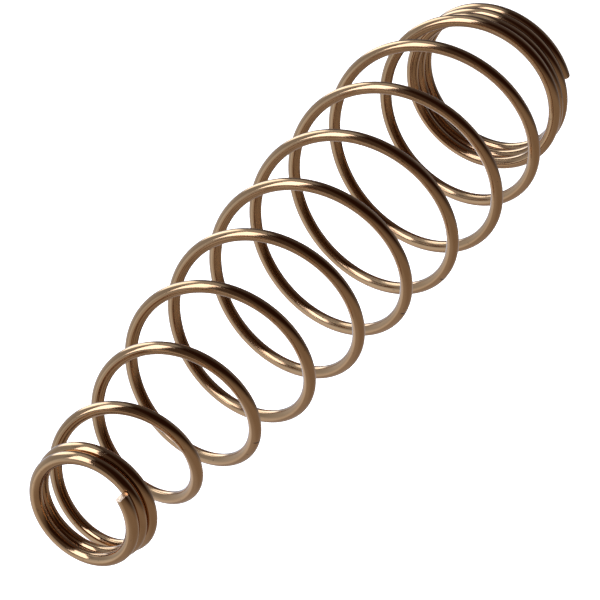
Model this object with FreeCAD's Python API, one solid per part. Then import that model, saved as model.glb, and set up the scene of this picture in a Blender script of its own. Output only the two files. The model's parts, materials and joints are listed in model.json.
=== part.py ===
"""Round-wire compression coil, tapered, with closed ends that are not ground flat.

The coil stands on its large end.  The origin is on the seat plane under the large end, and +Z
runs up the axis to the small end.  The wire is right-hand wound.  Places along the wire are
given in turns, counted up from the +X axis near the cut tip at the bottom.
Lengths are in millimetres.

The wire is one piece.  It is built as two rigid end coils and a chain of short lengths between
them, because every length moves by its own amount when the coil is pushed or pulled.
"""
import FreeCAD, Part
import math
import os
from FreeCAD import Vector

# ---- wire
wire_diameter = 1.2

# ---- lengths along the wire, in turns
large_tip_turn = -0.025        # the wire starts here, just short of the +X axis
large_end_turns = 3.0          # rigid closed coils at the bottom, counted from the axis
flexing_turns = 9              # whole turns that open and close
small_end_turns = 2.03         # rigid closed coils at the top
lengths_per_turn = 5           # separate lengths in each flexing turn
sections_per_turn = 20         # outlines that each length runs through

# ---- rise of one turn
large_end_gap = 0.05           # between the closed coils at the bottom
active_rise = 8.65             # open coils
small_end_gap = 0.10           # between the closed coils at the top
large_opening = (-0.07, 0.45)  # where the rise grows, from the first whole open turn, and its span
small_closing = (-0.60, 0.70)  # where it shrinks, from the first whole closed turn, and its span

# ---- radius of the wire's centre line
large_tip_radius = 7.72
large_end_radius = 8.02
widest_radius = 10.05
shoulder_radius = 8.05
neck_radius = 6.15
small_end_radius = 5.24
small_tip_radius = 4.98
small_tip_flare = 0.42         # the last fifth of a turn springs out by this much

# ---- the end coils sit a little to one side of the open coils' axis
large_end_offset = 0.48        # at the bottom
small_end_offset = 0.50        # at the top
offset_direction = -57.0       # degrees round from +X

top_turn = large_end_turns + flexing_turns      # where the small end's closed coils start
total_turns = top_turn + small_end_turns
wire_radius = wire_diameter / 2
large_end_rise = wire_diameter + large_end_gap
small_end_rise = wire_diameter + small_end_gap


def eased(turn, start, end):
    """0 before start, 1 after end, with a smooth S between."""
    x = min(max((turn - start) / (end - start), 0.0), 1.0)
    return x * x * (3 - 2 * x)


def straight(turn, start, end):
    """0 before start, 1 after end, with a straight line between."""
    return min(max((turn - start) / (end - start), 0.0), 1.0)


def eased_area(turn, start, span):
    """Area under eased(turn, start, start + span), up to this turn."""
    x = max((turn - start) / span, 0.0)
    return span * (x ** 3 - x ** 4 / 2 if x < 1 else x - 0.5)


def centre_radius(turn):
    """Radius of the wire's centre line, from the bottom tip up to the top tip."""
    radius = large_tip_radius
    first, last = large_end_turns, top_turn
    radius += (large_end_radius - large_tip_radius) * straight(turn, large_tip_turn, first - 0.2)
    radius += (widest_radius - large_end_radius) * eased(turn, first - 0.4, first + 1.3)
    radius += (shoulder_radius - widest_radius) * straight(turn, first + 2.1, last - 2.7)
    radius += (neck_radius - shoulder_radius) * eased(turn, last - 2.7, last - 1.2)
    radius += (small_end_radius - neck_radius) * eased(turn, last - 0.85, last + 0.2)
    radius += (small_tip_radius - small_end_radius) * straight(turn, last + 0.4, total_turns)
    radius += small_tip_flare * straight(turn, total_turns - 0.2, total_turns) ** 2
    return radius


def height(turn):
    """Height of the wire's centre line above the seat plane."""
    rise = large_end_rise * (turn - large_tip_turn)
    opening, closing = large_end_turns + large_opening[0], top_turn + small_closing[0]
    rise += (active_rise - large_end_rise) * eased_area(turn, opening, large_opening[1])
    rise += (small_end_rise - active_rise) * eased_area(turn, closing, small_closing[1])
    return wire_radius + rise


def side_offset(turn):
    """How far the coil's centre stands off the axis, at this turn."""
    return (large_end_offset * (1 - eased(turn, large_end_turns, large_end_turns + 1))
            + small_end_offset * eased(turn, top_turn - 1.3, top_turn - 0.6))


def wire_point(turn):
    """Where the wire's centre line crosses the upright plane through the axis at this turn."""
    angle, offset = 2 * math.pi * turn, side_offset(turn)
    aside = angle - math.radians(offset_direction)
    reach = (offset * math.cos(aside)
             + math.sqrt(centre_radius(turn) ** 2 - (offset * math.sin(aside)) ** 2))
    return Vector(reach * math.cos(angle), reach * math.sin(angle), height(turn))


def wire_direction(turn):
    """Unit vector along the wire, towards the small end."""
    return (wire_point(turn + 0.001) - wire_point(turn - 0.001)).normalize()


def section(turn):
    """Outline of the round wire on the upright plane through the axis at this turn.

    The wire crosses that plane a little aslant, so the outline is an ellipse.  It is drawn from
    its top, so that the outlines of one length follow each other without a twist.
    """
    angle = 2 * math.pi * turn
    around = Vector(-math.sin(angle), math.cos(angle), 0)
    centre, along = wire_point(turn), wire_direction(turn)
    slant = (along - around * along.dot(around)).normalize()
    across = around.cross(slant)
    half_length = wire_radius / along.dot(around)
    outline = Part.Ellipse(centre + slant * half_length, centre + across * wire_radius, centre)
    top = math.atan2(across.z * half_length, slant.z * wire_radius)
    return Part.Wire(outline.toShape(top, top + 2 * math.pi))


def short_length(start, end):
    """Solid round wire between two places less than half a turn apart, with upright end faces.

    Its end faces lie on planes through the axis, so each length keeps to its own sector and can
    slide up or down its neighbours.
    """
    steps = max(2, round((end - start) * sections_per_turn))
    sections = [section(start + (end - start) * step / steps) for step in range(steps + 1)]
    return Part.makeLoft(sections, True, False)


def closed_coils(start, end):
    """One solid over several turns, made of short lengths joined end to end."""
    count = math.ceil((end - start) * lengths_per_turn)
    marks = [start + index / lengths_per_turn for index in range(count)] + [end]
    lengths = [short_length(*span) for span in zip(marks, marks[1:])]
    return lengths[0].multiFuse(lengths[1:]).Solids[0]


def write_node(name, shape):
    if not shape.isValid() or shape.Volume <= 0:
        raise ValueError(f"{name} is not a sound solid")
    shape.exportStep(f"parts/{name}.step")


os.makedirs("parts", exist_ok=True)
write_node("large_end_coils", closed_coils(large_tip_turn, large_end_turns))
for index in range(flexing_turns * lengths_per_turn):
    coil, length = divmod(index, lengths_per_turn)
    start = large_end_turns + index / lengths_per_turn
    write_node(f"open_coil_{coil + 1}_length_{length + 1}",
               short_length(start, start + 1 / lengths_per_turn))
write_node("small_end_coils", closed_coils(large_end_turns + flexing_turns, total_turns))
print(f"free length {height(total_turns) + wire_radius:.2f} mm "
      f"over {total_turns - large_tip_turn:.2f} turns")
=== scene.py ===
"""A tapered compression coil wound from round bronze wire, on a pale table under a light tent."""
import bpy, json, math
from mathutils import Matrix, Quaternion, Vector


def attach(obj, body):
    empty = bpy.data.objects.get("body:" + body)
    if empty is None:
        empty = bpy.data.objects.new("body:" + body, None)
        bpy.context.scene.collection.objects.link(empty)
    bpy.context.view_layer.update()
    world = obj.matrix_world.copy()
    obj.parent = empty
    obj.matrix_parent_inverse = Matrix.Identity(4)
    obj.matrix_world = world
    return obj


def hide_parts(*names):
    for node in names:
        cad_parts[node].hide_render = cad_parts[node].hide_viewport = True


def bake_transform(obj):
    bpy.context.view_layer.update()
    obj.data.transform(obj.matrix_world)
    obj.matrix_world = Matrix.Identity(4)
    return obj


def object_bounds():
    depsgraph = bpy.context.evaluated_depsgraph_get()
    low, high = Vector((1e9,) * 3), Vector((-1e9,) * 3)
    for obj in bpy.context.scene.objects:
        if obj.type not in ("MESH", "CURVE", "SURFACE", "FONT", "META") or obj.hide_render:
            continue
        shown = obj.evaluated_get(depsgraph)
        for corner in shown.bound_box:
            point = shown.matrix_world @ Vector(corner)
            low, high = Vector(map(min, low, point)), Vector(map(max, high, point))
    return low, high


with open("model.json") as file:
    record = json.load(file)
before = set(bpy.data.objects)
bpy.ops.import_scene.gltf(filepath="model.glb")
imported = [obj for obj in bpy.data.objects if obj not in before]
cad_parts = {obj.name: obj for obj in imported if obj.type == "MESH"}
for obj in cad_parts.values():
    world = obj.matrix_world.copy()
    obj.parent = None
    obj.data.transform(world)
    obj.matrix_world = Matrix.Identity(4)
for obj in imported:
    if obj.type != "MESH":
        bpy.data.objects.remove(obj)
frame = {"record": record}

cad_low, cad_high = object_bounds()
bpy.ops.object.select_all(action="DESELECT")


# Large end.  Three coils of 1.2 mm spring bronze wire, wound close together so that the coil
# stands on a flat seat.  The wire was drawn to size through a die, wound right-handed on a
# coiling machine and then sheared off, which left its end square and not ground.
MM = 0.001
wire_radius = 0.6 * MM
rings_per_turn, sides = 480, 36
wire_per_turn = 55 * MM                  # straight wire that goes into one turn
# places along the wire, in turns
tip_turn, first_open, last_open, top_turn = -0.025, 3, 12, 14.03
# radius of the wire's middle line, rise of one turn, and how far the ends sit aside, in mm
tip_radius, closed_radius, widest_radius, shoulder_radius = 7.72, 8.02, 10.05, 8.05
neck_radius, small_radius, small_tip_radius, tip_flare = 6.15, 5.24, 4.98, 0.42
closed_rise, open_rise, small_rise = 1.25, 8.65, 1.30
large_aside, small_aside, aside_way = 0.48, 0.50, math.radians(-57)
# the shear's marks: size of the bare face, length of the burrs, where they stand, and slope
face_size, low_burr, high_burr, burr_way, face_slope = 0.86, 0.06 * MM, 0.17 * MM, 0.5, 0.21


def eased(turn, start, end):
    """0 before start, 1 after end, with a smooth S between."""
    x = min(max((turn - start) / (end - start), 0.0), 1.0)
    return x * x * (3 - 2 * x)


def straight(turn, start, end):
    """0 before start, 1 after end, with a straight line between."""
    return min(max((turn - start) / (end - start), 0.0), 1.0)


def grown(turn, start, span):
    """Area under eased(turn, start, start + span), up to this turn."""
    x = max((turn - start) / span, 0.0)
    return span * (x ** 3 - x ** 4 / 2 if x < 1 else x - 0.5)


def wire_place(turn):
    """The middle of the wire, this many turns up from over the +X axis at the large end."""
    first, last = first_open, last_open
    radius = tip_radius
    radius += (closed_radius - tip_radius) * straight(turn, tip_turn, first - 0.2)
    radius += (widest_radius - closed_radius) * eased(turn, first - 0.4, first + 1.3)
    radius += (shoulder_radius - widest_radius) * straight(turn, first + 2.1, last - 2.7)
    radius += (neck_radius - shoulder_radius) * eased(turn, last - 2.7, last - 1.2)
    radius += (small_radius - neck_radius) * eased(turn, last - 0.85, last + 0.2)
    radius += (small_tip_radius - small_radius) * straight(turn, last + 0.4, top_turn)
    radius += tip_flare * straight(turn, top_turn - 0.2, top_turn) ** 2
    offset = (large_aside * (1 - eased(turn, first, first + 1))
              + small_aside * eased(turn, last - 1.3, last - 0.6))
    height = wire_radius / MM + closed_rise * (turn - tip_turn)
    height += (open_rise - closed_rise) * grown(turn, first - 0.07, 0.45)
    height += (small_rise - open_rise) * grown(turn, last - 0.60, 0.70)
    angle = 2 * math.pi * turn
    aside = angle - aside_way
    reach = offset * math.cos(aside) + math.sqrt(radius ** 2 - (offset * math.sin(aside)) ** 2)
    return Vector((reach * math.cos(angle), reach * math.sin(angle), height)) * MM


def wire_axes(turn):
    """Directions along the wire, out from the coil, and up across the wire."""
    along = (wire_place(turn + 0.001) - wire_place(turn - 0.001)).normalized()
    out = along.cross(Vector((0, 0, 1))).normalized()
    return along, out, out.cross(along)


def wire_piece(name, start, end, cut_low=False, cut_high=False):
    """A closed length of round wire, with a sheared face and its burr where it is cut.

    Its attribute "drawn" holds each point's place in the straight wire that it was wound from,
    so that the marks of drawing follow the wire round.  Its attribute "cut" is 1 on a cut face.
    """
    steps = max(2, round((end - start) * rings_per_turn))
    # each ring: its place in turns, its size, its burr, and how bare its metal is
    rings = [(start + (end - start) * step / steps, 1.0, 0.0, 0.0) for step in range(steps + 1)]
    if cut_low:
        rings[0] = (start, 1.0, -low_burr, 0.7)
        rings.insert(0, (start, face_size, 0.0, 1.0))
    if cut_high:
        rings[-1] = (end, 1.0, high_burr, 0.7)
        rings.append((end, face_size, 0.0, 1.0))
    points, drawn, cut, faces = [], [], [], []
    for turn, size, burr, bare in rings:
        along, out, up = wire_axes(turn)
        for side in range(sides):
            angle = 2 * math.pi * side / sides
            x, y = size * wire_radius * math.cos(angle), size * wire_radius * math.sin(angle)
            lip = burr * max(0.0, math.cos(angle - burr_way)) ** 6 * (1 + 0.3 * math.sin(9 * angle))
            if cut_high and turn == end:
                lip -= face_slope * (0.67 * x + 0.74 * y)
            points.append(wire_place(turn) + out * x + up * y + along * lip)
            drawn += [x, y, turn * wire_per_turn]
            cut.append(bare)
    last = len(rings) - 1
    for step in range(last):
        for side in range(sides):
            a, b = step * sides + side, step * sides + (side + 1) % sides
            faces.append((a, b, b + sides, a + sides))
    faces.append(tuple(range(sides - 1, -1, -1)))
    faces.append(tuple(last * sides + side for side in range(sides)))
    mesh = bpy.data.meshes.new(name)
    mesh.from_pydata(points, [], faces)
    mesh.attributes.new("drawn", "FLOAT_VECTOR", "POINT").data.foreach_set("vector", drawn)
    mesh.attributes.new("cut", "FLOAT", "POINT").data.foreach_set("value", cut)
    piece = bpy.data.objects.new(name, mesh)
    bpy.context.scene.collection.objects.link(piece)
    bpy.ops.object.select_all(action="DESELECT")
    bpy.context.view_layer.objects.active = piece
    piece.select_set(True)
    bpy.ops.object.mode_set(mode="EDIT")
    bpy.ops.mesh.select_all(action="SELECT")
    bpy.ops.mesh.normals_make_consistent(inside=False)
    bpy.ops.object.mode_set(mode="OBJECT")
    bpy.ops.object.shade_smooth_by_angle(angle=math.radians(40))
    piece.select_set(False)
    return piece


class Wire_shade:
    """A socket of a material, with arithmetic that adds Math nodes."""

    def __init__(self, tree, socket):
        self.tree, self.socket = tree, socket

    def node(self, kind, settings=None, output=0, **inputs):
        """Another node, with its settings made first and then its inputs filled or linked."""
        made = self.tree.nodes.new(kind)
        for key, value in (settings or {}).items():
            setattr(made, key, value)
        for key, value in inputs.items():
            place = made.inputs[int(key[1:]) if key[1:].isdigit() else key.replace("_", " ")]
            if isinstance(value, Wire_shade):
                self.tree.links.new(value.socket, place)
            else:
                place.default_value = value
        return Wire_shade(self.tree, made.outputs[output])

    def maths(self, operation, *values):
        return self.node("ShaderNodeMath", {"operation": operation},
                         **{f"i{n}": value for n, value in enumerate(values)})

    def __add__(self, other): return self.maths("ADD", self, other)
    def __sub__(self, other): return self.maths("SUBTRACT", self, other)
    def __rsub__(self, other): return self.maths("SUBTRACT", other, self)
    def __mul__(self, other): return self.maths("MULTIPLY", self, other)
    __radd__, __rmul__ = __add__, __mul__

    def between(self, low, high):
        """0 below low and 1 above high, with a smooth S between."""
        return self.node("ShaderNodeMapRange", {"interpolation_type": "SMOOTHSTEP"},
                         i0=self, i1=low, i2=high)


def new_material(name, **constants):
    """A material, its shader with these fixed values, and a wrapped socket to start from."""
    material = bpy.data.materials.new(name)
    material.use_nodes = True
    tree = material.node_tree
    shader = tree.nodes["Principled BSDF"]
    for key, value in constants.items():
        shader.inputs[key.replace("_", " ")].default_value = value
    return material, shader, Wire_shade(tree, None)


bronze, shader, start = new_material("drawn_bronze", Metallic=1.0, Roughness=0.1)
place = start.node("ShaderNodeAttribute", {"attribute_name": "drawn"}, 1)
bare = start.node("ShaderNodeAttribute", {"attribute_name": "cut"}, 2)
lines = start.node("ShaderNodeMapping", Vector=place, Scale=(9000, 9000, 60))
streaks = start.node("ShaderNodeTexNoise", Vector=lines, Scale=1.0, Detail=3.0)
clouds_at = start.node("ShaderNodeMapping", Vector=place, Scale=(900, 900, 220))
clouds = start.node("ShaderNodeTexNoise", Vector=clouds_at, Scale=1.0, Detail=4.0)
specks_at = start.node("ShaderNodeMapping", Vector=place, Scale=(2500, 2500, 1800))
specks = start.node("ShaderNodeTexNoise", Vector=specks_at, Scale=1.0, Detail=2.0).between(0.70, 0.76)
tone = start.node("ShaderNodeMix", {"data_type": "RGBA"}, 2, Factor=clouds.between(0.3, 0.7),
                  i6=(0.52, 0.293, 0.140, 1), i7=(0.47, 0.258, 0.118, 1))
tone = start.node("ShaderNodeMix", {"data_type": "RGBA"}, 2, Factor=specks * 0.5,
                  i6=tone, i7=(0.12, 0.06, 0.035, 1))
tone = start.node("ShaderNodeMix", {"data_type": "RGBA"}, 2, Factor=bare * 0.9,
                  i6=tone, i7=(0.88, 0.60, 0.38, 1))
outward = start.node("ShaderNodeSeparateXYZ", None, 0, Vector=place)
fed = start.node("ShaderNodeSeparateXYZ", None, 2, Vector=place)
nicks, nick_turns, nick_length = 0, (5.845, 6.870, 9.888), 0.12 * MM
for turn in nick_turns:
    beside = (fed - turn * wire_per_turn) * (1 / nick_length)
    nicks = nicks + (1 - (beside * beside).between(0.2, 1.0)) * outward.between(0.15 * MM, 0.45 * MM)
tone = start.node("ShaderNodeMix", {"data_type": "RGBA"}, 2, Factor=nicks * 1.0,
                  i6=tone, i7=(0.10, 0.05, 0.03, 1))
links = bronze.node_tree.links
links.new(tone.socket, shader.inputs["Base Color"])
links.new((0.07 + 0.07 * streaks + 0.04 * clouds + 0.15 * specks + 0.2 * bare).socket,
          shader.inputs["Roughness"])
relief = streaks * 0.5 - specks * 0.6 - nicks * 1.5
bump = start.node("ShaderNodeBump", Strength=0.2, Distance=0.00003, Height=relief)
links.new(bump.socket, shader.inputs["Normal"])

large_end = wire_piece("large_end_wire", tip_turn, first_open, cut_low=True)
large_end.data.materials.append(bronze)
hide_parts("large_end_coils")
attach(large_end, "large_end_coils")


# Open coils.  Nine turns of the same wire with room between them, which give the coil its
# travel.  Each length is made as a wire piece of its own in place of its CAD length; the
# heights at its ends and their places on a smooth step are worked out, but not used.
shares = {pair["joint"].removesuffix("_travel"): pair["ratio"]
          for pair in frame["record"]["behaviour"]["couplings"]}
lengths = sorted(shares, key=shares.get)
middles = [shares[name] for name in lengths]
joins = [0] + [(low + high) / 2 for low, high in zip(middles, middles[1:])] + [1]


def on_ramp(share):
    """Where on a smooth 0 to 1 step its height is this share."""
    return 0.5 - math.sin(math.asin(1 - 2 * share) / 3)


lengths_per_turn = len(lengths) / (last_open - first_open)
for index, name in enumerate(lengths):
    low, high = (first_open + mark / lengths_per_turn for mark in (index, index + 1))
    piece = wire_piece(name.replace("length", "wire"), low, high)
    piece.data.materials.append(bronze)
    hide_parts(name)
    first, last = wire_place(low), wire_place(high)
    first.z = last.z = 0
    a, b = on_ramp(joins[index]), on_ramp(joins[index + 1])
    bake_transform(piece)


# Small end.  Two close coils of the same wire, on which a finger or a cap presses.  Its cut
# end shows the bright bare metal that the shear left, with a small burr along the top.
small_end = wire_piece("small_end_wire", last_open, top_turn, cut_high=True)
small_end.data.materials.append(bronze)
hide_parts("small_end_coils")
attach(small_end, "small_end_coils")


# Camera.  A long lens looks down on the small end, from over the large tip's side, and is
# rolled so that the coil lies aslant.
middle = (cad_low + cad_high) / 2
azimuth, elevation, roll = math.radians(123.17), math.radians(45.81), math.radians(-136.59)
back = Vector((math.sin(azimuth) * math.cos(elevation), -math.cos(azimuth) * math.cos(elevation),
               math.sin(elevation)))
camera = bpy.data.objects.new("camera", bpy.data.cameras.new("camera"))
bpy.context.scene.collection.objects.link(camera)
bpy.context.scene.camera = camera
camera.rotation_mode = "QUATERNION"
camera.rotation_quaternion = (-back).to_track_quat("-Z", "Y") @ Quaternion((0, 0, 1), roll)
right, up = (camera.rotation_quaternion @ Vector(axis) for axis in ((1, 0, 0), (0, 1, 0)))
camera.location = (0.23619, 0.15250, 0.33286)
camera.data.lens, camera.data.sensor_width = 258.7, 36
camera.data.clip_start, camera.data.clip_end = 0.01, 20


# Table.  A pale sheet lit from below as well as from above, so that it stays plain and even.
bpy.ops.mesh.primitive_plane_add(size=6, location=(0, 0, cad_low.z))
table = bpy.context.object
table.name = "table"
pale, *_ = new_material("pale_table", Roughness=0.8, Base_Color=(0.85, 0.85, 0.85, 1),
                        Emission_Color=(1, 1, 1, 1), Emission_Strength=1.0)
table.data.materials.append(pale)
table.visible_glossy = table.visible_shadow = False


# Long lamp.  A soft box at the left, above the coil, whose straight edges show in the metal.
lamp_way = right * -0.70 + up * 0.24 + back * 0.67
lamp_way.normalize()
bpy.ops.object.light_add(type="AREA", location=middle + lamp_way * 1.2)
lamp = bpy.context.object
lamp.name = "long_lamp"
lamp.rotation_mode = "QUATERNION"
long_way = right * 0.35 + up * 0.94
long_way = (long_way - lamp_way * long_way.dot(lamp_way)).normalized()
lamp.rotation_quaternion = Matrix((long_way.cross(lamp_way), long_way, lamp_way)
                                  ).transposed().to_quaternion()
lamp.data.shape, lamp.data.size, lamp.data.size_y = "RECTANGLE", 0.50, 1.26
lamp.data.energy, lamp.data.color = 7.6, (0.86, 1.04, 1.45)


# Light tent.  A closed cloth tent round the coil, which only the metal reflects.  Its left is
# bright and cool, with a second lamp behind the cloth high on that side, its lower side is
# plain white, and its right stays nearly dark.
bpy.ops.mesh.primitive_uv_sphere_add(segments=64, ring_count=32, radius=1.5)
tent = bpy.context.object
tent.name = "light_tent"
bpy.ops.object.shade_smooth()
cloth = bpy.data.materials.new("tent_cloth")
cloth.use_nodes = True
tree = cloth.node_tree
tree.nodes.clear()
start = Wire_shade(tree, None)
way = start.node("ShaderNodeVectorMath", {"operation": "NORMALIZE"},
                 i0=start.node("ShaderNodeTexCoord", None, 3))
half_way = start.node("ShaderNodeVectorMath", {"operation": "NORMALIZE"},
                      i0=start.node("ShaderNodeVectorMath", {"operation": "ADD"},
                                    i0=way, i1=tuple(back)))


def towards(direction):
    """How far the half way direction leans towards this one, from -1 to 1."""
    return start.node("ShaderNodeVectorMath", {"operation": "DOT_PRODUCT"}, 1,
                      i0=half_way, i1=tuple(direction.normalized()))


across, down = towards(right), towards(-up)


def patch(x, y, length, width, lean, soft=0.6):
    """A bright oval on the cloth, centred on this lean, with its long way turned by lean."""
    dx, dy = across - x, down - y
    along = (dx * math.cos(lean) + dy * math.sin(lean)) * (1 / length)
    aside = (dy * math.cos(lean) - dx * math.sin(lean)) * (1 / width)
    return 1 - (along * along + aside * aside).between(1 - soft, 1 + soft)


rim = (across * across + down * down).between(0.70, 1.0)
plain = (0.31 * (down + 0.2 * across).between(0.09, 0.46) + 0.08 * rim
         + 0.06 * patch(-0.20, -0.02, 0.30, 0.16, 1.2))
cool = (0.48 * (-1 * across).between(0.42, 0.58) + 0.28 * (-1 * across).between(0.62, 0.90)
        + 0.09 * (0.5 * across - down).between(0.45, 0.85)
        + 0.14 * (across - 0.4 * down).between(0.62, 0.90)
        + 0.16 * (down - 0.8 * across).between(0.45, 1.05)
        + 0.40 * patch(-0.46, 0.32, 0.24, 0.17, 0.9)
        + 0.60 * patch(-0.30, -0.54, 0.30, 0.20, -0.75)
        + 2.9 * patch(-0.49, -0.64, 0.23, 0.13, -0.72, 0.5))
shine = start.node("ShaderNodeEmission", Color=(1.0, 0.42, 0.25, 1), Strength=0.028)
for colour, strength in (((1.0, 1.0, 1.0, 1), plain), ((0.80, 1.04, 1.40, 1), cool)):
    more = start.node("ShaderNodeEmission", Color=colour, Strength=strength)
    shine = start.node("ShaderNodeAddShader", None, 0, i0=shine, i1=more)
surface = tree.nodes.new("ShaderNodeOutputMaterial")
tree.links.new(shine.socket, surface.inputs["Surface"])
tent.data.materials.append(cloth)
tent.visible_camera = tent.visible_diffuse = tent.visible_shadow = False

world = bpy.data.worlds.new("world")
bpy.context.scene.world = world
world.use_nodes = True
world.node_tree.nodes["Background"].inputs["Color"].default_value = (1, 1, 1, 1)
bpy.context.scene.view_settings.view_transform = "Standard"
